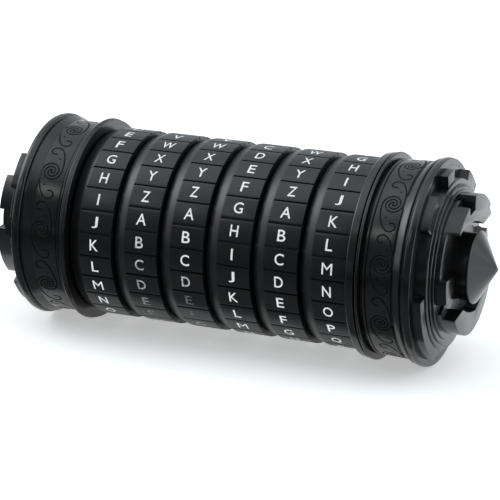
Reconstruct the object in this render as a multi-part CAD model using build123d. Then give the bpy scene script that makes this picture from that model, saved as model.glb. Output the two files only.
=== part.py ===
"""Letter-lock puzzle cylinder (cryptex), lying on its side along X.

Six letter rings turn on a slotted sleeve. Inside the sleeve an inner tube with a row
of lugs slides out to the right, with the right end band and cap on it.
Lengths are in millimetres. Angles about the axis are in degrees, from straight up (+Z)
and growing towards the front (-Y), so letters run A to Z down the front.
"""
from build123d import *
from math import cos, radians, sin
import os

# Driving dimensions ---------------------------------------------------------------
TILE_R = 23.0          # letter surface of the rings
RING_PITCH = 11.83     # from one ring to the next
LETTERS = 26
LETTER_SHIFT = 0.3     # the rings' letters sit this far right of an even spread
TILE_LEFT = 3.8        # tile zone, left and right of the letter's middle
TILE_RIGHT = 4.42
BEVEL_LEFT = 6.9       # the sloping strip starts this far left of the letter's middle
BEVEL_DROP = 1.15
TILE_GROOVE = 0.4      # width and depth of the lines between tiles

FLANGE_R = 25.0        # the two outer flanges, which the object rests on
BAND_R = 23.4          # engraved surface of the end bands
FACE_X = 50.4          # flat end face of each band
CAP_TOP_X = 58.1       # face of the raised crescents
TIP_X = 64.2           # point of each cone

SLEEVE_R = 15.5
SLEEVE_BORE = 13.5
SLOT_WIDTH = 3.6
TUBE_R = 13.42
TUBE_BORE = 12.0
LUG_WIDTH = 3.0
LUG_LENGTH = 2.0
LUG_TIP_R = 17.4
RUNNING = 0.08         # radial clearance of a turning ring
SIDE_GAP = 0.3         # gap between neighbours that move apart
SPLINE_R = 19.2        # joint between a letter ring and its code ring
SPLINE_TEETH = 52
SPLINE_PHASE = 2.2     # the spline's grooves are turned this far from the letters
CODE_KEYS = 4
COLLAR_R = 24.7
COLLAR_RIGHT = 36.85

# How far each ring is turned: the angle of its letter A
LETTER_A_ANGLE = [-51.8, 67.4, 60.6, -29.9, 52.4, -84.2]

RINGS = len(LETTER_A_ANGLE)
RING_LEFT = -BEVEL_LEFT
RING_RIGHT = TILE_RIGHT
STACK_HALF = (RINGS - 1) / 2 * RING_PITCH
STACK_LEFT = LETTER_SHIFT - STACK_HALF + RING_LEFT
STACK_RIGHT = LETTER_SHIFT + STACK_HALF + RING_RIGHT
COLLAR_LEFT = STACK_RIGHT + SIDE_GAP

# End caps: every x below is for the right end
SEAT_X = FACE_X - 3.0      # the cap sits in a seat this deep in the band
SEAT_R = 23.2
CAP_R = 23.15
RIM_TOP_X = 52.7
DRUM_STEPS = [(20.3, 53.1), (19.1, 53.6), (17.9, 54.1)]    # radius and top of each step
# openings in the raised rim
RIM_GAPS = [(-33, -1), (11, 30), (53, 95), (150, 210), (265, 307)]
CRESCENT_R = 16.3
HORN_R = 17.3               # the crescent's thick end stands out this far
CRESCENT_TURNS = [0, 180]
LEFT_CAP_TURN = -88          # the left cap is the same casting, turned about the axis
FLOOR_LOW_X = 55.0
FLOOR_HIGH_X = 56.6
HUB_R = 8.0
CONE_R = 9.5
CONE_BASE_X = 58.75
STUD_R = 3.0
STUD_END_X = 42.5
PLUG_X = SEAT_X - 2.5
NUT_HEIGHT = 2.2
TUBE_END_X = -41.8

os.makedirs("parts", exist_ok=True)


def code_angle(letter_angle):
    """Turn of a code ring whose keys sit in the nearest grooves of its letter ring."""
    step = 360 / SPLINE_TEETH
    return (letter_angle + SPLINE_PHASE + step / 2) % step - step / 2


def ring_middle(index):
    """Place of a ring's letters along the axis, for ring 0 to 5."""
    return LETTER_SHIFT + (index - 2.5) * RING_PITCH


def turned(points, rounds=()):
    """A solid of revolution about X from (x, r) points; rounds are (x, r, radius)."""
    face = make_face(Polyline(*points, close=True))
    for x, r, radius in rounds:
        corner = face.vertices().sort_by_distance(Vector(x, r, 0))[0]
        face = fillet(corner, radius)
    return revolve(face, Axis.X, 360)


def tube(x0, x1, outer, inner=0.0):
    """A plain tube or disc about the X axis."""
    length = x1 - x0
    place = Plane(origin=(x0, 0, 0), x_dir=(0, 1, 0), z_dir=(1, 0, 0))
    solid = place * Cylinder(outer, length, align=(Align.CENTER, Align.CENTER, Align.MIN))
    if inner:
        solid -= place * Cylinder(inner, length, align=(Align.CENTER, Align.CENTER, Align.MIN))
    return solid


def polar(r, angle):
    """Point at a radius and angle, as (y, z)."""
    return (-r * sin(radians(angle)), r * cos(radians(angle)))


def block(x0, x1, angle, width, r0, r1):
    """A box that stands radially from r0 to r1 at an angle about the axis."""
    box = Box(x1 - x0, width, r1 - r0, align=(Align.MIN, Align.CENTER, Align.MIN))
    return Rotation(angle, 0, 0) * Pos(x0, 0, r0) * box


def sector(x0, x1, start, stop, r0, r1):
    """Part of a tube between two angles about the axis."""
    middle = (start + stop) / 2
    plane = Plane(origin=(x0, 0, 0), x_dir=(0, 1, 0), z_dir=(1, 0, 0))
    outer = ThreePointArc(polar(r1, start), polar(r1, middle), polar(r1, stop))
    inner = ThreePointArc(polar(r0, stop), polar(r0, middle), polar(r0, start))
    edges = [outer, Line(outer @ 1, inner @ 0), inner, Line(inner @ 1, outer @ 0)]
    return extrude(plane * make_face(edges), x1 - x0)


# Rings ----------------------------------------------------------------------------
def letter_ring():
    """Outer ring: sloping strip, 26 flat-topped tiles and a fine spline in its bore."""
    bevel_r = TILE_R - BEVEL_DROP
    groove_r = SPLINE_R + 0.6
    body = turned(
        [(RING_LEFT, SPLINE_R), (RING_LEFT, bevel_r), (-TILE_LEFT, TILE_R),
         (RING_RIGHT, TILE_R), (RING_RIGHT, SPLINE_R)],
        [(RING_LEFT, bevel_r, 0.25), (-TILE_LEFT, TILE_R, 0.3), (RING_RIGHT, TILE_R, 0.15)])
    pitch = 360 / LETTERS
    for index in range(LETTERS):
        angle = (index + 0.5) * pitch
        depth_r = TILE_R - TILE_GROOVE
        body -= block(-TILE_LEFT, RING_RIGHT + 1, angle, TILE_GROOVE, depth_r, TILE_R + 1)
    step = 360 / SPLINE_TEETH
    for index in range(SPLINE_TEETH):
        angle = SPLINE_PHASE + index * step
        body -= block(RING_LEFT - 1, RING_RIGHT + 1, angle, 1.2, SPLINE_R - 1, groove_r)
    return body


def code_ring():
    """Inner ring: four keys outside; inside, a groove for the lug and one way out for it."""
    bore = SLEEVE_R + RUNNING
    outer = SPLINE_R - 0.05
    groove_r = LUG_TIP_R + 0.5
    groove_half = LUG_LENGTH / 2 + 0.6
    body = turned(
        [(RING_LEFT, bore), (RING_LEFT, outer), (RING_RIGHT, outer), (RING_RIGHT, bore),
         (groove_half, bore), (groove_half, groove_r), (-groove_half, groove_r),
         (-groove_half, bore)])
    for index in range(CODE_KEYS):
        angle = index * 360 / CODE_KEYS
        body += block(RING_LEFT, RING_RIGHT, angle, 1.0, outer - 0.4, SPLINE_R + 0.5)
    body -= block(RING_LEFT - 1, RING_RIGHT + 1, 0, SLOT_WIDTH + 0.6, bore - 2, groove_r)
    return body


# Fixed sleeve and its ends --------------------------------------------------------
def outer_sleeve():
    """Tube that the rings turn on, with a slot for the lugs that is open to the right."""
    body = tube(-SEAT_X, COLLAR_RIGHT, SLEEVE_R, SLEEVE_BORE)
    slot_start = ring_middle(0) - 4
    body -= block(slot_start, COLLAR_RIGHT + 1, 0, SLOT_WIDTH, SLEEVE_BORE - 2, SLEEVE_R + 2)
    return body


def end_collar():
    """Ring pressed on the sleeve's right end, which keeps the letter rings on."""
    body = turned(
        [(COLLAR_LEFT, SLEEVE_R), (COLLAR_LEFT, COLLAR_R - 0.3), (COLLAR_RIGHT, COLLAR_R),
         (COLLAR_RIGHT, SLEEVE_R)],
        [(COLLAR_LEFT, COLLAR_R - 0.3, 0.7), (COLLAR_RIGHT, COLLAR_R, 0.25)])
    body -= block(COLLAR_LEFT - 1, COLLAR_RIGHT + 1, 0, SLOT_WIDTH, SLEEVE_BORE, LUG_TIP_R + 0.5)
    return body


def band(inner_x, bore):
    """Engraved end band, from the bead next to the rings out to the flange."""
    groove_r = BAND_R - 0.8
    rim_r = FLANGE_R - 0.3
    points = [
        (inner_x, bore), (inner_x, FLANGE_R - 0.4), (37.4, FLANGE_R), (37.9, FLANGE_R - 0.4),
        (37.95, groove_r), (38.5, groove_r), (38.6, BAND_R), (39.1, BAND_R),
        (39.2, BAND_R - 0.3), (39.4, BAND_R - 0.1), (45.5, BAND_R + 0.2), (45.65, BAND_R - 0.1),
        (45.8, BAND_R + 0.4), (47.8, BAND_R + 0.9), (48.0, BAND_R + 0.55), (48.3, BAND_R + 0.55),
        (48.6, FLANGE_R - 0.3), (49.3, FLANGE_R), (FACE_X, rim_r), (FACE_X, SEAT_R),
        (SEAT_X, SEAT_R), (SEAT_X, bore)]
    return turned(points, [(37.4, FLANGE_R, 0.25), (49.3, FLANGE_R, 0.5)])


# End caps -------------------------------------------------------------------------
def crescent(turn, notched):
    """Raised crescent on the cap: an arc outside, a flatter arc inside, one blunt end."""
    plane = Plane(origin=(FLOOR_LOW_X - 0.5, 0, 0), x_dir=(0, 1, 0), z_dir=(1, 0, 0))
    tail = polar(CRESCENT_R, 46)
    blunt = polar(CRESCENT_R, -57)
    corner = polar(11.05, -41)
    outer = ThreePointArc(tail, polar(CRESCENT_R, -5), blunt)
    inner = ThreePointArc(corner, (-1.5, 11.6), tail)
    outline = make_face([outer, Line(outer @ 1, inner @ 0), inner])
    solid = extrude(plane * outline, CAP_TOP_X - FLOOR_LOW_X + 0.5)
    if notched:
        solid += sector(FLOOR_LOW_X - 1.5, CAP_TOP_X, -48, -1, 14.0, HORN_R)
        solid -= sector(FLOOR_LOW_X - 1.0, CAP_TOP_X + 1, -1, 15, 14.0, HORN_R + 1)
    else:
        solid += sector(FLOOR_LOW_X - 0.5, CAP_TOP_X, 15, 70, 12.0, CRESCENT_R)
    return Rotation(turn, 0, 0) * solid


def end_cap():
    """Stepped cap: broken rim, drum in three steps, two crescents and two low blocks."""
    bore = STUD_R + 0.1
    points = [(SEAT_X, bore), (SEAT_X, CAP_R), (RIM_TOP_X, CAP_R)]
    top_x = RIM_TOP_X
    for radius, next_x in DRUM_STEPS:
        points += [(top_x, radius), (next_x, radius)]
        top_x = next_x
    points += [(top_x, CRESCENT_R), (FLOOR_LOW_X, CRESCENT_R), (FLOOR_LOW_X, bore)]
    body = turned(points, [(x, r, 0.25) for r, x in DRUM_STEPS])
    drum_r = DRUM_STEPS[0][0]
    drum_top_x = DRUM_STEPS[-1][1]
    for start, stop in RIM_GAPS:
        body -= sector(FACE_X, RIM_TOP_X + 1, start, stop, drum_r, CAP_R + 1)
    for turn in CRESCENT_TURNS:
        body += crescent(turn, notched=turn == 0)
        body += sector(FLOOR_LOW_X - 0.5, FLOOR_HIGH_X, 85 + turn, 106 + turn, 10.5, CRESCENT_R)
        body -= sector(drum_top_x, CAP_TOP_X + 1, 107 + turn, 117 + turn, 12.5, CRESCENT_R + 1)
    return body


def finial():
    """Cone on a round hub, with a stud that holds the cap."""
    return turned(
        [(STUD_END_X, 0), (STUD_END_X, STUD_R), (FLOOR_LOW_X, STUD_R), (FLOOR_LOW_X, HUB_R),
         (CONE_BASE_X, HUB_R), (CONE_BASE_X, CONE_R), (TIP_X, 0)],
        [(CONE_BASE_X, CONE_R, 0.3)])


def end_plug(outer):
    """Disc behind the cap, pressed into the sleeve or tube, with a hole for the stud."""
    return tube(PLUG_X, SEAT_X, outer, STUD_R + 0.1)


def stud_nut():
    """Hexagonal nut on the finial's stud, hidden behind the plug."""
    plane = Plane(origin=(PLUG_X - NUT_HEIGHT, 0, 0), x_dir=(0, 1, 0), z_dir=(1, 0, 0))
    hexagon = extrude(plane * RegularPolygon(radius=5.0, side_count=6), NUT_HEIGHT)
    return hexagon - tube(PLUG_X - NUT_HEIGHT - 1, PLUG_X + 1, STUD_R)


# Inner tube -----------------------------------------------------------------------
def lug_places():
    """Start and end of each lug along the axis."""
    middles = [ring_middle(index) for index in range(RINGS)]
    return [(x - LUG_LENGTH / 2, x + LUG_LENGTH / 2) for x in middles]


def inner_tube():
    """Container tube, open at its left end, with a row of holes for the lugs."""
    body = tube(TUBE_END_X, SEAT_X, TUBE_R, TUBE_BORE)
    for x0, x1 in lug_places():
        body -= block(x0, x1, 0, LUG_WIDTH, TUBE_BORE - 2, TUBE_R + 1)
    return body


def lock_lugs():
    """Six lugs set in the inner tube, one in each code ring's groove."""
    lugs = [block(x0, x1, 0, LUG_WIDTH, TUBE_BORE + 0.2, LUG_TIP_R) for x0, x1 in lug_places()]
    return Compound(children=lugs)


def write(solid, name):
    """Save one piece under its node name."""
    solid.label = name
    export_step(solid, f"parts/{name}.step")


def main():
    """Build every piece where it sits in the closed object and save it."""
    outer_ring = letter_ring()
    inner_ring = code_ring()
    for index, angle in enumerate(LETTER_A_ANGLE):
        place = Pos(ring_middle(index), 0, 0)
        write(place * Rotation(angle, 0, 0) * outer_ring, f"letter_ring_{index + 1}")
        write(place * Rotation(code_angle(angle), 0, 0) * inner_ring, f"code_ring_{index + 1}")

    write(outer_sleeve(), "outer_sleeve")
    write(end_collar(), "end_collar")
    write(inner_tube(), "inner_tube")
    write(lock_lugs(), "lock_lugs")
    ends = {
        "end_band": (band(-STACK_LEFT + SIDE_GAP, SLEEVE_R), band(COLLAR_RIGHT + SIDE_GAP, TUBE_R)),
        "end_cap": (Rotation(LEFT_CAP_TURN, 0, 0) * end_cap(), end_cap()),
        "finial": (finial(), finial()),
        "end_plug": (end_plug(SLEEVE_BORE), end_plug(TUBE_BORE)),
        "stud_nut": (stud_nut(), stud_nut()),
    }
    for name, (left, right) in ends.items():
        write(Rotation(0, 0, 180) * left, f"left_{name}")
        write(right, f"right_{name}")


if __name__ == "__main__":
    main()
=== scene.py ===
"""Looks of a letter-lock puzzle cylinder (cryptex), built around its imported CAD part.

Everything is in metres in the part's own frame: the axis along X, +Z up, and the letters
read from the front, -Y. Lengths written in the code are in millimetres and turned to
metres by MM. Angles about the axis are from straight up, growing towards the front.
"""
import math

import bpy
from bpy.props import (FloatProperty, FloatVectorProperty, IntProperty, PointerProperty,
                       StringProperty)
from bpy.types import Operator, Panel, PropertyGroup
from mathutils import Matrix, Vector


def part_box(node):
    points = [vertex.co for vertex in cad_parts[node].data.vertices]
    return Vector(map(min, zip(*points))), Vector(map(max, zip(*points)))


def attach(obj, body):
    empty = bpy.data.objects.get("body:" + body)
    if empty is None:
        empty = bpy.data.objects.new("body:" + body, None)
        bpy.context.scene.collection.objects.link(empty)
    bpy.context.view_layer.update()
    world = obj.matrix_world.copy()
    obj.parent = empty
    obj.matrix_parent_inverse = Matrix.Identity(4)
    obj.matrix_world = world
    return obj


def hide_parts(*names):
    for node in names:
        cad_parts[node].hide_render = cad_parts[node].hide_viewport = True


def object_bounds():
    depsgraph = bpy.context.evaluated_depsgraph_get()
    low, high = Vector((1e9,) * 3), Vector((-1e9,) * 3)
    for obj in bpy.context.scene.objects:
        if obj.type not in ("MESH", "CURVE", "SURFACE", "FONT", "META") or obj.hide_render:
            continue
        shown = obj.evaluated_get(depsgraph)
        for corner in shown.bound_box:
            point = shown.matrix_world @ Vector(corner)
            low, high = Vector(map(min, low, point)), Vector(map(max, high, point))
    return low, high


bl_info = {
    "name": "Letter-Lock Cylinder",
    "version": (1, 0, 0),
    "blender": (4, 5, 0),
    "location": "3D Viewport > Sidebar > Puzzle",
    "description": "Builds a six-ring letter-lock cylinder around its CAD part",
    "category": "Object",
}

MM = 0.001
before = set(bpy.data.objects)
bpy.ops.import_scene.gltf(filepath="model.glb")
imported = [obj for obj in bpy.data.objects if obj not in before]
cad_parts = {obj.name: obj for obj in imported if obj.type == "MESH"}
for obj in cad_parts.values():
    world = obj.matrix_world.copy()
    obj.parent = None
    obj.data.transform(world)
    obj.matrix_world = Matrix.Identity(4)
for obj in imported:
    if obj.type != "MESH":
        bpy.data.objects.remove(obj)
CAD_BOX = [list(corner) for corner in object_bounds()]
RINGS = 6
ALPHABET = "ABCDEFGHIJKLMNOPQRSTUVWXYZ"


def high(node, axis):
    """The highest coordinate of a CAD node along X, Y or Z (0, 1, 2)."""
    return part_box(node)[1][axis]


def low(node, axis):
    """The lowest coordinate of a CAD node along X, Y or Z (0, 1, 2)."""
    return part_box(node)[0][axis]


# Sizes and colours that a user would change ----------------------------------------
class RingSizes(PropertyGroup):
    """Sizes of the six letter rings and their letters."""
    tile_radius: FloatProperty(
        name="Tile radius", description="From the axis to the face of the tiles",
        default=high("letter_ring_1", 2), unit="LENGTH", precision=5)
    strip_drop: FloatProperty(
        name="Strip drop", description="How far the sloping strip falls at its left edge",
        default=0.00115, unit="LENGTH", precision=5)
    groove_width: FloatProperty(
        name="Groove width", description="Width of the line between two tiles",
        default=0.00042, unit="LENGTH", precision=5)
    groove_depth: FloatProperty(
        name="Groove depth", description="Depth of the line between two tiles",
        default=0.0005, unit="LENGTH", precision=5)
    edge_round: FloatProperty(
        name="Edge rounding", description="Rounding of the edges of the tiles",
        default=0.00009, unit="LENGTH", precision=5)
    letter_height: FloatProperty(
        name="Letter height", description="Height of the capital letters",
        default=0.00274, unit="LENGTH", precision=5)
    letter_weight: FloatProperty(
        name="Letter weight", description="Thickening of the letters' strokes", default=0.008)
    paint_height: FloatProperty(
        name="Paint height", description="How far the paint stands above the tile",
        default=0.00003, unit="LENGTH", precision=6)
    steps_per_tile: IntProperty(
        name="Steps per tile", description="Facets round the ring for each tile",
        default=8, min=2)


class BandSizes(PropertyGroup):
    """Sizes of the scroll engraving on the two end bands."""
    motifs: IntProperty(
        name="Scrolls", description="Number of scrolls round a band", default=10, min=1)
    line_radius: FloatProperty(
        name="Line radius", description="Half the width of an engraved line",
        default=0.00023, unit="LENGTH", precision=5)
    scroll_radius: FloatProperty(
        name="Scroll radius", description="Outer radius of each spiral",
        default=0.00265, unit="LENGTH", precision=5)
    scroll_turns: FloatProperty(
        name="Scroll turns", description="Turns of each arm of a spiral", default=1.5)
    middle: FloatProperty(
        name="Scroll middle", description="Place of the spirals along the axis",
        default=0.0430, unit="LENGTH", precision=5)
    right_turn: FloatProperty(
        name="Right band turn", description="Angle of one spiral on the right band",
        default=math.radians(3.4), subtype="ANGLE")
    left_turn: FloatProperty(
        name="Left band turn", description="Angle of one spiral on the left band",
        default=math.radians(9.6), subtype="ANGLE")


class Colours(PropertyGroup):
    """Colours of the finishes, as sRGB hex values."""
    black_enamel: StringProperty(
        name="Black enamel", description="Stoved black enamel on the castings",
        default="#0D0D0E")
    ring_enamel: StringProperty(
        name="Ring enamel", description="Satin black enamel on the rings",
        default="#0B0E10")
    letter_paint: StringProperty(
        name="Letter paint", description="White enamel of the letters",
        default="#F4F5F7")
    steel: StringProperty(
        name="Steel", description="Plain steel of the nuts and lugs", default="#A9A8A4")
    floor: StringProperty(
        name="Floor", description="White table top", default="#F2F2F2")


class StageSizes(PropertyGroup):
    """Camera and lights."""
    camera_place: FloatVectorProperty(
        name="Camera place", description="Where the camera stands",
        default=(0.21589, -0.53080, 0.19755), subtype="XYZ", unit="LENGTH")
    camera_dip: FloatProperty(
        name="Camera dip", description="How far the camera looks down",
        default=math.radians(19.33), subtype="ANGLE")
    camera_swing: FloatProperty(
        name="Camera swing", description="How far the camera is swung to the left",
        default=math.radians(21.98), subtype="ANGLE")
    lens: FloatProperty(
        name="Lens", description="Focal length on a 36 mm sensor, in millimetres",
        default=180.0)
    sky: FloatProperty(
        name="Sky", description="Brightness of the white room above", default=1.42)
    key_place: FloatVectorProperty(
        name="Key place", description="Where the key softbox hangs",
        default=(-0.30, -0.56, 0.56), subtype="XYZ", unit="LENGTH")
    key: FloatProperty(
        name="Key light", description="Power of the softbox in front, in watts", default=0.25)
    left: FloatProperty(
        name="Left light", description="Power of the softbox on the left, in watts", default=1.2)
    side: FloatProperty(
        name="Side light", description="Power of the softbox on the right, in watts",
        default=0.5)
    floor_glow: FloatProperty(
        name="Floor glow", description="Light that the table adds, so that it burns out white",
        default=0.42)


# Small tools -----------------------------------------------------------------------
def deselect():
    """Leave edit mode and select nothing, so that an operator acts only on new pieces."""
    if bpy.context.object and bpy.context.object.mode != "OBJECT":
        bpy.ops.object.mode_set(mode="OBJECT")
    bpy.ops.object.select_all(action="DESELECT")


def select(piece, *others):
    """Select only these pieces, the first one active."""
    deselect()
    for each in (piece, *others):
        each.select_set(True)
    bpy.context.view_layer.objects.active = piece


def settle(piece):
    """Move the piece's place, turn and size into its mesh."""
    select(piece)
    bpy.ops.object.transform_apply(location=True, rotation=True, scale=True)


def named(name):
    """Name the active piece and its mesh."""
    piece = bpy.context.object
    piece.name = name
    piece.data.name = name
    return piece


def join(name, *pieces):
    """Join pieces into one."""
    select(*pieces)
    bpy.ops.object.join()
    return named(name)


def duplicate(piece, name):
    """A copy of a piece with its own mesh."""
    select(piece)
    bpy.ops.object.duplicate(linked=False)
    return named(name)


def turn(piece, angle, axis="X"):
    """Turn a piece about an axis through the origin and keep it in the mesh."""
    piece.rotation_euler["XYZ".index(axis)] = angle
    settle(piece)


def shift(piece, x):
    """Slide a piece along the axis and keep it in the mesh."""
    piece.location.x = x
    settle(piece)


def remove(*pieces):
    """Delete helper pieces."""
    select(*pieces)
    bpy.ops.object.delete()


def wire(name, points):
    """A chain of edges through points in millimetres, extruded from one vertex."""
    deselect()
    start = Vector(points[0]) * MM
    bpy.ops.mesh.primitive_plane_add(size=MM, location=start)
    piece = named(name)
    settle(piece)
    bpy.ops.object.mode_set(mode="EDIT")
    bpy.ops.mesh.merge(type="CENTER")
    for here, there in zip(points, points[1:]):
        step = (Vector(there) - Vector(here)) * MM
        bpy.ops.mesh.extrude_vertices_move(TRANSFORM_OT_translate={"value": step})
    bpy.ops.mesh.select_all(action="SELECT")
    bpy.ops.mesh.remove_doubles(threshold=MM / 1000)
    bpy.ops.object.mode_set(mode="OBJECT")
    return piece


def pick(piece, choose, kind="faces"):
    """Select the faces, edges or vertices for which choose() is true, then edit them."""
    select(piece)
    mesh = piece.data
    for each in mesh.vertices:
        each.select = False
    for each in mesh.edges:
        each.select = False
    for each in mesh.polygons:
        each.select = False
    found = {"faces": mesh.polygons, "edges": mesh.edges, "vertices": mesh.vertices}[kind]
    for each in found:
        each.select = choose(each)
    bpy.ops.object.mode_set(mode="EDIT")
    mode = {"faces": "FACE", "edges": "EDGE", "vertices": "VERT"}[kind]
    bpy.ops.mesh.select_mode(type=mode)


def turned(name, profile, rounds=(), steps=208):
    """A piece turned about the axis from a closed outline of (x, radius) in mm.

    rounds are (x, radius, rounding) for the corners that are rounded.
    """
    outline = [(x, 0.0, r) for x, r in profile]
    piece = wire(name, outline + outline[:1])
    for x, r, rounding in rounds:
        corner = Vector((x, 0.0, r)) * MM
        pick(piece, lambda v: (v.co - corner).length < MM / 50, "vertices")
        bpy.ops.mesh.bevel(
            offset=rounding * MM, offset_type="OFFSET", segments=4, affect="VERTICES")
        bpy.ops.object.mode_set(mode="OBJECT")
    pick(piece, lambda v: True, "vertices")
    bpy.ops.mesh.spin(
        steps=steps, angle=2 * math.pi, center=(0, 0, 0), axis=(1, 0, 0))
    bpy.ops.mesh.select_all(action="SELECT")
    bpy.ops.mesh.remove_doubles(threshold=MM / 1000)
    bpy.ops.mesh.normals_make_consistent(inside=False)
    bpy.ops.object.mode_set(mode="OBJECT")
    return piece


def cut(piece, cutter, overlapping=False):
    """Cut one closed piece away from another; overlapping if the cutter crosses itself."""
    select(piece)
    modifier = piece.modifiers.new("cut", "BOOLEAN")
    modifier.operation = "DIFFERENCE"
    modifier.solver = "EXACT"
    modifier.use_self = overlapping
    modifier.material_mode = "TRANSFER"
    modifier.object = cutter
    bpy.ops.object.modifier_apply(modifier=modifier.name)
    remove(cutter)


def round_edges(piece, width, angle, segments=2):
    """Round every edge sharper than the angle in degrees."""
    select(piece)
    modifier = piece.modifiers.new("round", "BEVEL")
    modifier.width = width
    modifier.segments = segments
    modifier.limit_method = "ANGLE"
    modifier.angle_limit = math.radians(angle)
    modifier.harden_normals = False
    bpy.ops.object.modifier_apply(modifier=modifier.name)


def smooth(piece, angle=32):
    """Smooth shading, with edges sharper than the angle in degrees kept."""
    select(piece)
    bpy.ops.object.shade_smooth_by_angle(angle=math.radians(angle))


def repeat_round(piece, count):
    """Repeat a piece in equal steps round the axis, all in one mesh."""
    pick(piece, lambda v: True, "vertices")
    bpy.ops.mesh.spin(
        steps=count - 1, angle=2 * math.pi * (count - 1) / count,
        center=(0, 0, 0), axis=(1, 0, 0), dupli=True)
    bpy.ops.object.mode_set(mode="OBJECT")


def place(piece, material, body, slot, *nodes):
    """Give a finished piece its material and body, and hide the CAD nodes it stands for. The slot
    is not used.
    """
    if piece.data.materials:
        piece.data.materials[0] = material
    else:
        piece.data.materials.append(material)
    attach(piece, body)
    if nodes:
        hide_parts(*nodes)


# Materials -------------------------------------------------------------------------
def linear(colour):
    """Linear RGBA of an sRGB hex colour."""
    values = [int(colour.lstrip("#")[i:i + 2], 16) / 255 for i in (0, 2, 4)]
    return [v / 12.92 if v <= 0.04045 else ((v + 0.055) / 1.055) ** 2.4 for v in values] + [1.0]


def add(tree, kind, settings=None, links=None):
    """Add a node; settings are properties or input values, links are input to output socket."""
    node = tree.nodes.new(kind)
    for key, value in (settings or {}).items():
        if hasattr(node, str(key)) and not isinstance(key, int):
            setattr(node, key, value)
        else:
            node.inputs[key].default_value = value
    for key, socket in (links or {}).items():
        tree.links.new(socket, node.inputs[key])
    return node


def new_material(name):
    """An empty node material and its tree."""
    material = bpy.data.materials.get(name)
    if material:
        return material, None
    material = bpy.data.materials.new(name)
    material.use_nodes = True
    material.node_tree.nodes.clear()
    return material, material.node_tree


def enamelled_casting(name, colour, rough, grain):
    """Stoved black enamel on a zinc alloy casting.

    The enamel is sprayed, so it is glassy with a faint orange peel, and handling leaves
    patches that are a little duller.
    """
    material, tree = new_material(name)
    if tree is None:
        return material
    place_at = add(tree, "ShaderNodeTexCoord").outputs["Object"]
    # orange peel of sprayed enamel, about 0.7 mm from crest to crest
    peel = add(tree, "ShaderNodeTexNoise", {"Scale": 1400.0, "Detail": 2.0}, {"Vector": place_at})
    # handling marks, patches of 5 to 10 mm
    patches = add(tree, "ShaderNodeTexNoise", {"Scale": 160.0, "Detail": 3.0},
                  {"Vector": place_at})
    dull = add(tree, "ShaderNodeMapRange", {"To Min": rough - 0.05, "To Max": rough + 0.08},
               {"Value": patches.outputs["Fac"]})
    bump = add(tree, "ShaderNodeBump", {"Strength": grain, "Distance": 0.00004},
               {"Height": peel.outputs["Fac"]})
    shader = add(tree, "ShaderNodeBsdfPrincipled",
                 {"Base Color": linear(colour), "IOR": 1.55},
                 {"Roughness": dull.outputs["Result"], "Normal": bump.outputs["Normal"]})
    add(tree, "ShaderNodeOutputMaterial", {}, {"Surface": shader.outputs["BSDF"]})
    return material


def letter_enamel(name, paint, ground):
    """White enamel wiped into the letters.

    It is matt and bright; in specks it has rubbed away and the black enamel under it shows
    through, and some letters are blended further towards the black, by amounts listed per letter.
    """
    material, tree = new_material(name)
    if tree is None:
        return material
    place_at = add(tree, "ShaderNodeTexCoord").outputs["Object"]
    darkening = add(tree, "ShaderNodeAttribute", {"attribute_name": "darkening"})
    # specks of rubbed paint, 0.3 to 0.6 mm
    specks = add(tree, "ShaderNodeTexNoise", {"Scale": 1900.0, "Detail": 3.0, "Roughness": 0.6},
                 {"Vector": place_at})
    centred = add(tree, "ShaderNodeMapRange",
                  {"From Min": 0.3, "From Max": 0.7, "To Min": -0.25, "To Max": 0.25},
                  {"Value": specks.outputs["Fac"]})
    amount = add(tree, "ShaderNodeMath", {"operation": "ADD"},
                 {0: darkening.outputs["Fac"], 1: centred.outputs["Result"]})
    gone = add(tree, "ShaderNodeMapRange",
               {"From Min": 0.1, "From Max": 1.0, "To Min": 0.0, "To Max": 0.95},
               {"Value": amount.outputs["Value"]})
    colour = add(tree, "ShaderNodeMix",
                 {"data_type": "RGBA", "A": linear(paint), "B": linear(ground)},
                 {"Factor": gone.outputs["Result"]})
    shader = add(tree, "ShaderNodeBsdfPrincipled", {"Roughness": 0.5, "IOR": 1.45},
                 {"Base Color": colour.outputs["Result"]})
    add(tree, "ShaderNodeOutputMaterial", {}, {"Surface": shader.outputs["BSDF"]})
    return material


def machined_steel(name, colour):
    """Plain steel turned and milled, with fine tool marks that streak its reflections."""
    material, tree = new_material(name)
    if tree is None:
        return material
    place_at = add(tree, "ShaderNodeTexCoord").outputs["Object"]
    # tool marks 0.1 mm apart along the axis, drawn three times as coarse so that they show
    stretched = add(tree, "ShaderNodeMapping", {"Scale": (3000.0, 200.0, 200.0)},
                    {"Vector": place_at})
    marks = add(tree, "ShaderNodeTexNoise", {"Scale": 1.0, "Detail": 2.0},
                {"Vector": stretched.outputs["Vector"]})
    rough = add(tree, "ShaderNodeMapRange", {"To Min": 0.28, "To Max": 0.45},
                {"Value": marks.outputs["Fac"]})
    bump = add(tree, "ShaderNodeBump", {"Strength": 0.25, "Distance": 0.00002},
               {"Height": marks.outputs["Fac"]})
    shader = add(tree, "ShaderNodeBsdfPrincipled",
                 {"Base Color": linear(colour), "Metallic": 1.0},
                 {"Roughness": rough.outputs["Result"], "Normal": bump.outputs["Normal"]})
    add(tree, "ShaderNodeOutputMaterial", {}, {"Surface": shader.outputs["BSDF"]})
    return material


def satin_enamel():
    """Finish of the letter rings."""
    colours = bpy.context.scene.cryptex_colours
    return enamelled_casting("satin black enamel on turned zinc", colours.ring_enamel, 0.34, 0.12)


def gloss_enamel():
    """Finish of the bands, caps and finials."""
    colours = bpy.context.scene.cryptex_colours
    return enamelled_casting("black enamel on polished zinc casting", colours.black_enamel,
                             0.22, 0.1)


def groove_enamel():
    """Finish inside the engraved lines: matt because polishing doesn't reach it, and a darker
    black than the polished enamel as painted shade in the grooves.
    """
    # the darker black #050506 is painted shade in the grooves; the matt roughness is the real
    # finish
    return enamelled_casting("matt black enamel, as sprayed", "#050506", 0.75, 0.1)


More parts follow.
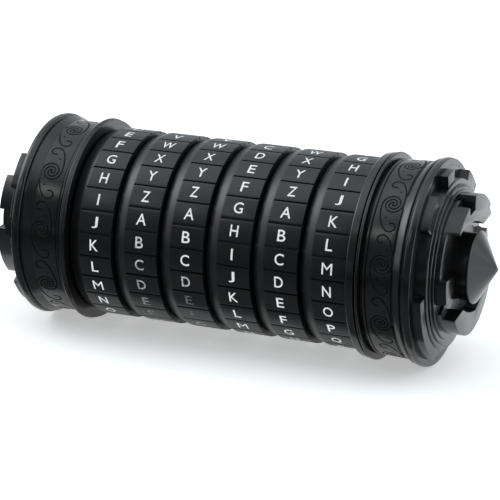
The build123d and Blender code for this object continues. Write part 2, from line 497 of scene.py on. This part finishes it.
# Letter rings ----------------------------------------------------------------------
# one ring, in mm from the middle of its letters: the sloping strip, then the flat tiles
RING_LEFT = -6.9
TILE_LEFT = -3.8
RING_RIGHT = 4.42
RING_BORE = 19.2
STRIP_ROUND = 0.3
TILE_LEFT_ROUND = 0.35
TILE_RIGHT_ROUND = 0.12
# turn of each ring's A from straight up, in degrees
LETTER_A_ANGLE = [-51.8, 67.4, 60.6, -29.9, 52.4, -84.2]
# ink width of each capital as a share of its height
LETTER_WIDTH = {
    "A": 0.92, "B": 0.74, "C": 0.82, "D": 0.78, "E": 0.66, "F": 0.62, "G": 0.84, "H": 0.74,
    "I": 0.17, "J": 0.56, "K": 0.78, "L": 0.62, "M": 0.94, "N": 0.78, "O": 0.88, "P": 0.70,
    "Q": 0.88, "R": 0.78, "S": 0.72, "T": 0.74, "U": 0.74, "V": 0.84, "W": 1.14, "X": 0.82,
    "Y": 0.82, "Z": 0.72}
# how far some letters are blended towards the black enamel, ring by ring
LETTER_DARKENING = {
    2: {"B": 0.4, "C": 0.6, "D": 0.7, "E": 0.8, "F": 0.85, "G": 0.6},
    3: {"D": 0.5, "E": 0.95, "F": 1.0, "G": 0.6},
}


def ring_middles():
    """Place along the axis of each ring's letters."""
    return [high(f"letter_ring_{n}", 0) - RING_RIGHT * MM for n in range(1, RINGS + 1)]


class CRYPTEX_OT_letter_rings(Operator):
    """Builds the six letter rings with their tiles"""
    bl_idname = "cryptex.letter_rings"
    bl_label = "Letter Rings"

    def execute(self, context):
        sizes = context.scene.cryptex_rings
        ring = self.one_ring(sizes)
        for number, (middle, angle) in enumerate(zip(ring_middles(), LETTER_A_ANGLE), 1):
            copy = duplicate(ring, f"ring_{number}_tiles")
            turn(copy, math.radians(angle))
            shift(copy, middle)
            place(copy, satin_enamel(), f"ring_{number}", "ring_metal", f"letter_ring_{number}")
        remove(ring)
        return {"FINISHED"}

    def one_ring(self, sizes):
        """A ring about the origin with the tile of A at the top."""
        tile_r = sizes.tile_radius / MM
        strip_r = tile_r - sizes.strip_drop / MM
        profile = [(RING_LEFT, RING_BORE), (RING_LEFT, strip_r), (TILE_LEFT, tile_r),
                   (RING_RIGHT, tile_r), (RING_RIGHT, RING_BORE)]
        rounds = [(RING_LEFT, strip_r, STRIP_ROUND), (TILE_LEFT, tile_r, TILE_LEFT_ROUND),
                  (RING_RIGHT, tile_r, TILE_RIGHT_ROUND)]
        ring = turned("ring", profile, rounds, len(ALPHABET) * sizes.steps_per_tile)
        depth = sizes.groove_depth
        overrun = 2.0                # the bar runs this far past the tile's right edge, in mm
        middle = (TILE_LEFT + RING_RIGHT + overrun) / 2 * MM
        length = (RING_RIGHT - TILE_LEFT + overrun) * MM
        deselect()
        bpy.ops.mesh.primitive_cube_add(
            size=1, location=(middle, 0, sizes.tile_radius + depth),
            scale=(length, sizes.groove_width, 4 * depth))
        bar = named("groove_bar")
        settle(bar)
        turn(bar, math.pi / len(ALPHABET))
        repeat_round(bar, len(ALPHABET))
        cut(ring, bar)
        round_edges(ring, sizes.edge_round, 50)
        smooth(ring)
        return ring


class CRYPTEX_OT_letters(Operator):
    """Builds the painted letters, A to Z on each ring"""
    bl_idname = "cryptex.letters"
    bl_label = "Painted Letters"

    def execute(self, context):
        sizes = context.scene.cryptex_rings
        colours = context.scene.cryptex_colours
        paint = letter_enamel("white enamel letters, wiped in", colours.letter_paint,
                              colours.ring_enamel)
        glyphs = [self.glyph(character, sizes) for character in ALPHABET]
        pitch = 2 * math.pi / len(ALPHABET)
        for number, (middle, angle) in enumerate(zip(ring_middles(), LETTER_A_ANGLE), 1):
            darkening = LETTER_DARKENING.get(number, {})
            copies = []
            for index, (character, glyph) in enumerate(zip(ALPHABET, glyphs)):
                copy = duplicate(glyph, f"ring_{number}_{character}")
                amount = copy.data.attributes.new("darkening", "FLOAT", "POINT")
                amount.data.foreach_set("value", [darkening.get(character, 0.0)] * len(amount.data))
                turn(copy, index * pitch)
                copies.append(copy)
            letters = join(f"ring_{number}_letters", *copies)
            turn(letters, math.radians(angle))
            shift(letters, middle)
            place(letters, paint, f"ring_{number}", "ring_metal")
        remove(*glyphs)
        return {"FINISHED"}

    def glyph(self, character, sizes):
        """One capital on top of a ring at the origin, curved to the tile."""
        deselect()
        bpy.ops.object.text_add()
        text = bpy.context.object.data
        text.body = character
        # the font's M turns inside out when it is thickened
        text.offset = 0.0 if character == "M" else sizes.letter_weight
        text.resolution_u = 4
        bpy.ops.object.convert(target="MESH")
        glyph = named(f"glyph_{character}")
        cap = sizes.letter_height
        height = cap * (1.12 if character == "Q" else 1.0)
        across = self.extent(glyph, 0)
        along = self.extent(glyph, 1)
        glyph.scale = (LETTER_WIDTH[character] * cap / (across[1] - across[0]),
                       height / (along[1] - along[0]), 1)
        settle(glyph)
        across = self.extent(glyph, 0)
        along = self.extent(glyph, 1)
        glyph.location = (-(across[0] + across[1]) / 2, cap / 2 - along[1], 0)
        settle(glyph)
        bpy.ops.object.mode_set(mode="EDIT")
        for share in (-0.75, -0.5, -0.25, 0.0, 0.25, 0.5, 0.75):
            bpy.ops.mesh.select_all(action="SELECT")
            bpy.ops.mesh.bisect(plane_co=(0, share * cap / 2, 0), plane_no=(0, 1, 0))
        bpy.ops.object.mode_set(mode="OBJECT")
        radius = sizes.tile_radius + sizes.paint_height
        for vertex in glyph.data.vertices:
            angle = vertex.co.y / radius
            vertex.co.y = radius * math.sin(angle)
            vertex.co.z = radius * math.cos(angle)
        return glyph

    def extent(self, piece, axis):
        """Lowest and highest vertex of a piece along an axis."""
        places = [vertex.co[axis] for vertex in piece.data.vertices]
        return min(places), max(places)


# End bands -------------------------------------------------------------------------
BAND_PROFILE = [
    (37.15, 20.0), (37.15, 24.6), (37.4, 25.0), (37.85, 24.65), (37.98, 22.6), (38.45, 22.6),
    (38.6, 23.4), (39.1, 23.4), (39.2, 23.1), (39.4, 23.3), (45.5, 23.6), (45.65, 23.3),
    (45.9, 23.35), (47.7, 24.45), (48.05, 24.0), (48.35, 24.0), (48.6, 24.7), (49.3, 25.0),
    (50.4, 24.7), (50.4, 23.2), (47.4, 23.2), (47.4, 20.0)]
BAND_ROUNDS = [
    (37.15, 24.6, 0.1), (37.4, 25.0, 0.3), (37.85, 24.65, 0.1), (38.6, 23.4, 0.06),
    (39.1, 23.4, 0.05), (39.4, 23.3, 0.05), (45.5, 23.6, 0.05), (45.9, 23.35, 0.3),
    (47.7, 24.45, 0.15), (48.6, 24.7, 0.2), (49.3, 25.0, 0.5), (50.4, 24.7, 0.12)]
# one arm of a scroll beyond its spiral: sideways and down the band, in mm
SCROLL_ARM = [(-2.55, 2.4), (-1.95, 4.4), (-1.1, 6.2), (0.3, 7.2), (1.8, 6.6), (2.05, 5.4),
              (1.2, 4.75), (0.2, 4.95)]
# a round dot beside each arm, and its radius
SCROLL_DOTS = [(0.9, -3.6), (-0.9, 3.6)]
DOT_RADIUS = 0.24
# the engraved panel runs between these places, (x, radius) in mm
PANEL_START = (39.4, 23.3)
PANEL_END = (45.5, 23.6)
BAND_STEPS = 240


class CRYPTEX_OT_end_bands(Operator):
    """Builds the two engraved end bands"""
    bl_idname = "cryptex.end_bands"
    bl_label = "End Bands"

    def execute(self, context):
        sizes = context.scene.cryptex_bands
        right = turned("right_band", BAND_PROFILE, BAND_ROUNDS, BAND_STEPS)
        right.data.materials.append(gloss_enamel())
        cutter = self.scrolls(sizes)
        cutter.data.materials.append(groove_enamel())
        cut(right, cutter, overlapping=True)
        smooth(right, 30)
        left = duplicate(right, "left_band")
        turn(left, math.pi, "Z")
        turn(left, sizes.left_turn)
        turn(right, sizes.right_turn)
        inner = -low("right_end_band", 0)
        pick(left, lambda v: abs(v.co.x - inner) < 0.02 * MM, "vertices")
        move = high("left_end_band", 0) - inner
        bpy.ops.transform.translate(value=(move, 0, 0))
        bpy.ops.object.mode_set(mode="OBJECT")
        place(right, gloss_enamel(), "drawer", "band_metal", "right_end_band")
        place(left, gloss_enamel(), "sleeve", "band_metal", "left_end_band")
        return {"FINISHED"}

    def surface(self, sizes, sideways, down):
        """Point of the band's engraved surface, in mm."""
        x = sizes.middle / MM + sideways
        slope = (PANEL_END[1] - PANEL_START[1]) / (PANEL_END[0] - PANEL_START[0])
        radius = PANEL_START[1] + (x - PANEL_START[0]) * slope
        angle = down / radius
        return (x, -radius * math.sin(angle), radius * math.cos(angle))

    def scrolls(self, sizes):
        """Thin round cutters along the scrolls all round the band."""
        path = self.one_arm(sizes)
        path = [(-a, -b) for a, b in reversed(path)] + [(0.0, 0.0)] + path
        line = wire("scroll", [self.surface(sizes, a, b) for a, b in path])
        bpy.ops.object.convert(target="CURVE")
        bpy.ops.object.mode_set(mode="EDIT")
        bpy.ops.curve.select_all(action="SELECT")
        bpy.ops.curve.spline_type_set(type="NURBS")
        bpy.ops.object.mode_set(mode="OBJECT")
        spline = line.data.splines[0]
        spline.order_u = 4
        spline.use_endpoint_u = True
        spline.resolution_u = 3
        line.data.resolution_u = 3
        line.data.bevel_depth = sizes.line_radius
        line.data.bevel_resolution = 1
        line.data.use_fill_caps = True
        bpy.ops.object.convert(target="MESH")
        line = named("scroll")
        dots = []
        for a, b in SCROLL_DOTS:
            deselect()
            bpy.ops.mesh.primitive_ico_sphere_add(
                subdivisions=2, radius=DOT_RADIUS * MM,
                location=Vector(self.surface(sizes, a, b)) * MM)
            dots.append(named("dot"))
            settle(dots[-1])
        cutter = join("scroll_cutter", line, *dots)
        repeat_round(cutter, sizes.motifs)
        return cutter

    def one_arm(self, sizes):
        """Points of one arm from the middle of a spiral to its hooked end, in mm."""
        outer = sizes.scroll_radius / MM
        turns = sizes.scroll_turns
        steps = int(12 * turns)
        points = []
        for step in range(1, steps + 1):
            share = step / steps
            angle = math.pi + 2 * math.pi * turns * (1 - share)
            radius = outer * share
            points.append((radius * math.cos(angle), radius * math.sin(angle)))
        return points + SCROLL_ARM


# Caps and carried pieces -----------------------------------------------------------
# rounding of the cast edges of the caps, in mm
CAST_ROUND = 0.14


class CRYPTEX_OT_end_caps(Operator):
    """Rounds the cast edges of the two end caps"""
    bl_idname = "cryptex.end_caps"
    bl_label = "End Caps"

    def execute(self, context):
        for side, body in (("left", "sleeve"), ("right", "drawer")):
            node = f"{side}_end_cap"
            cap = duplicate(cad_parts[node], f"{side}_cap_casting")
            pick(cap, lambda v: True, "vertices")
            bpy.ops.mesh.remove_doubles(threshold=MM / 500)
            bpy.ops.mesh.dissolve_limited(angle_limit=math.radians(1.0))
            bpy.ops.object.mode_set(mode="OBJECT")
            round_edges(cap, CAST_ROUND * MM, 30, 3)
            smooth(cap, 30)
            place(cap, gloss_enamel(), body, "cap_metal", node)
        return {"FINISHED"}


class CRYPTEX_OT_carried_parts(Operator):
    """Gives the CAD pieces that stay their finishes"""
    bl_idname = "cryptex.carried_parts"
    bl_label = "Carried Parts"

    def execute(self, context):
        colours = context.scene.cryptex_colours
        steel = machined_steel("plain steel, machined", colours.steel)
        inner = enamelled_casting("black enamel, drawn tube", colours.black_enamel, 0.4, 0.05)
        finishes = {"end_collar": gloss_enamel(), "outer_sleeve": inner, "inner_tube": inner,
                    "lock_lugs": steel}
        for side in ("left", "right"):
            finishes[f"{side}_finial"] = gloss_enamel()
            finishes[f"{side}_end_plug"] = inner
            finishes[f"{side}_stud_nut"] = steel
        for number in range(1, RINGS + 1):
            finishes[f"code_ring_{number}"] = inner
        for node, material in finishes.items():
            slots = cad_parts[node].material_slots
            for slot in slots:
                slot.material = material
        return {"FINISHED"}


# Stage -----------------------------------------------------------------------------
# places and sizes of the softboxes, in metres
LEFT_PLACE = (-0.66, 0.0, 0.46)
SIDE_PLACE = (0.7, 0.25, 0.35)
KEY_SIZE = (0.20, 0.12)
LEFT_SIZE = (0.4, 0.4)
SIDE_SIZE = (0.5, 0.5)
# brightness of the room from the front (0) over the top to the back (1), against its brightest
ROOM_LEVELS = [(0.0, 0.04), (0.07, 0.15), (0.14, 0.06), (0.20, 0.14), (0.26, 0.42), (0.36, 1.0),
               (0.60, 1.0), (0.73, 0.64), (0.855, 0.53), (1.0, 0.6)]


class CRYPTEX_OT_stage(Operator):
    """Builds the floor, lights and camera"""
    bl_idname = "cryptex.stage"
    bl_label = "Stage"

    def execute(self, context):
        stage = context.scene.cryptex_stage
        colours = context.scene.cryptex_colours
        deselect()
        bpy.ops.mesh.primitive_plane_add(size=6.0, location=(0, 0, CAD_BOX[0][2]))
        floor = named("table_top")
        settle(floor)
        material, tree = new_material("white laminate, matt")
        shader = add(tree, "ShaderNodeBsdfPrincipled",
                     {"Base Color": linear(colours.floor), "Roughness": 0.8,
                      "Emission Color": (1, 1, 1, 1), "Emission Strength": stage.floor_glow})
        add(tree, "ShaderNodeOutputMaterial", {}, {"Surface": shader.outputs["BSDF"]})
        floor.data.materials.append(material)
        self.room(context, stage)
        self.painted_shade_card()
        self.light("key_softbox", stage.key_place, KEY_SIZE, stage.key)
        self.light("left_softbox", LEFT_PLACE, LEFT_SIZE, stage.left)
        self.light("side_softbox", SIDE_PLACE, SIDE_SIZE, stage.side)
        bpy.ops.object.camera_add(
            location=stage.camera_place,
            rotation=(math.pi / 2 - stage.camera_dip, 0, stage.camera_swing))
        camera = context.object
        camera.data.lens = stage.lens
        camera.data.sensor_width = 36.0
        camera.data.clip_start = 0.01
        context.scene.camera = camera
        context.scene.view_settings.view_transform = "Standard"
        return {"FINISHED"}

    def room(self, context, stage):
        """A white room, brightest above and behind, dark towards the front."""
        world = bpy.data.worlds.new("white_room")
        world.use_nodes = True
        tree = world.node_tree
        tree.nodes.clear()
        towards = add(tree, "ShaderNodeTexCoord").outputs["Generated"]
        split = add(tree, "ShaderNodeSeparateXYZ", {}, {"Vector": towards})
        from_front = add(tree, "ShaderNodeMapRange", {"From Min": -1.0, "From Max": 1.0},
                         {"Value": split.outputs["Y"]})
        ramp = add(tree, "ShaderNodeValToRGB", {}, {"Fac": from_front.outputs["Result"]})
        stops = ramp.color_ramp.elements
        stops.remove(stops[1])
        for index, (where, level) in enumerate(ROOM_LEVELS):
            stop = stops.new(where) if index else stops[0]
            stop.position = where
            stop.color = (level, level, level, 1)
        fade = add(tree, "ShaderNodeMath", {"operation": "MULTIPLY", 1: stage.sky},
                   {0: ramp.outputs["Color"]})
        seen = add(tree, "ShaderNodeLightPath").outputs["Is Camera Ray"]
        strength = add(tree, "ShaderNodeMix", {"data_type": "FLOAT", 3: 1.0},
                       {0: seen, 2: fade.outputs["Value"]})
        # daylight is a little blue in the reflections; the backdrop itself is plain white
        tint = add(tree, "ShaderNodeMix",
                   {"data_type": "RGBA", "A": (0.88, 0.96, 1.0, 1), "B": (1, 1, 1, 1)},
                   {"Factor": seen})
        shader = add(tree, "ShaderNodeBackground", {},
                     {"Strength": strength.outputs[0], "Color": tint.outputs["Result"]})
        add(tree, "ShaderNodeOutputWorld", {}, {"Surface": shader.outputs["Background"]})
        context.scene.world = world

    def painted_shade_card(self):
        """A grey card flat on the table in front, seen only in reflections: painted reflected
        shade.
        """
        deselect()
        top = CAD_BOX[0][2] + MM
        bpy.ops.mesh.primitive_plane_add(size=1, location=(0, -0.43, top))
        card = named("painted_shade_card")
        card.scale = (2.0, 0.82, 1)
        settle(card)
        card.visible_camera = False
        card.visible_diffuse = False
        card.visible_shadow = False
        material, tree = new_material("grey card, darker away from the object")
        place_at = add(tree, "ShaderNodeTexCoord").outputs["Object"]
        split = add(tree, "ShaderNodeSeparateXYZ", {}, {"Vector": place_at})
        # painted reflected shade: the grey falls from light near the object to dark away from it
        grey = add(tree, "ShaderNodeMapRange",
                   {"From Min": -0.13, "From Max": -0.03, "To Min": 0.02, "To Max": 0.26},
                   {"Value": split.outputs["Y"]})
        shader = add(tree, "ShaderNodeBsdfDiffuse", {}, {"Color": grey.outputs["Result"]})
        add(tree, "ShaderNodeOutputMaterial", {}, {"Surface": shader.outputs["BSDF"]})
        card.data.materials.append(material)

    def light(self, name, location, size, power):
        """A rectangular softbox that points at the middle of the object."""
        aim = Vector(location).to_track_quat("Z", "Y").to_euler()
        bpy.ops.object.light_add(type="AREA", location=location, rotation=aim)
        lamp = bpy.context.object
        lamp.name = name
        lamp.data.shape = "RECTANGLE"
        lamp.data.size, lamp.data.size_y = size
        lamp.data.energy = power
        lamp.visible_camera = False


class CRYPTEX_PT_panel(Panel):
    """Lists the pieces and their sizes"""
    bl_idname = "CRYPTEX_PT_panel"
    bl_label = "Letter-Lock Cylinder"
    bl_space_type = "VIEW_3D"
    bl_region_type = "UI"
    bl_category = "Puzzle"

    def draw(self, context):
        layout = self.layout
        for step in STEPS:
            layout.operator(step.bl_idname)
        for group in ("cryptex_rings", "cryptex_bands", "cryptex_colours", "cryptex_stage"):
            settings = getattr(context.scene, group)
            box = layout.box()
            for key in settings.__annotations__:
                box.prop(settings, key)


GROUPS = {"cryptex_rings": RingSizes, "cryptex_bands": BandSizes, "cryptex_colours": Colours,
          "cryptex_stage": StageSizes}
STEPS = (CRYPTEX_OT_letter_rings, CRYPTEX_OT_letters, CRYPTEX_OT_end_bands,
         CRYPTEX_OT_end_caps, CRYPTEX_OT_carried_parts, CRYPTEX_OT_stage)


def register():
    """Register the classes and hang the settings on the scene."""
    for name, group in GROUPS.items():
        bpy.utils.register_class(group)
        setattr(bpy.types.Scene, name, PointerProperty(type=group))
    for each in (*STEPS, CRYPTEX_PT_panel):
        bpy.utils.register_class(each)


def unregister():
    """Take the classes and settings away again."""
    for each in reversed((*STEPS, CRYPTEX_PT_panel)):
        bpy.utils.unregister_class(each)
    for name, group in GROUPS.items():
        delattr(bpy.types.Scene, name)
        bpy.utils.unregister_class(group)


def main():
    """Register the settings on the scene, then build every piece and the stage."""
    register()
    for step in STEPS:
        family, name = step.bl_idname.split(".")
        getattr(getattr(bpy.ops, family), name)()


if __name__ == "__main__":
    main()
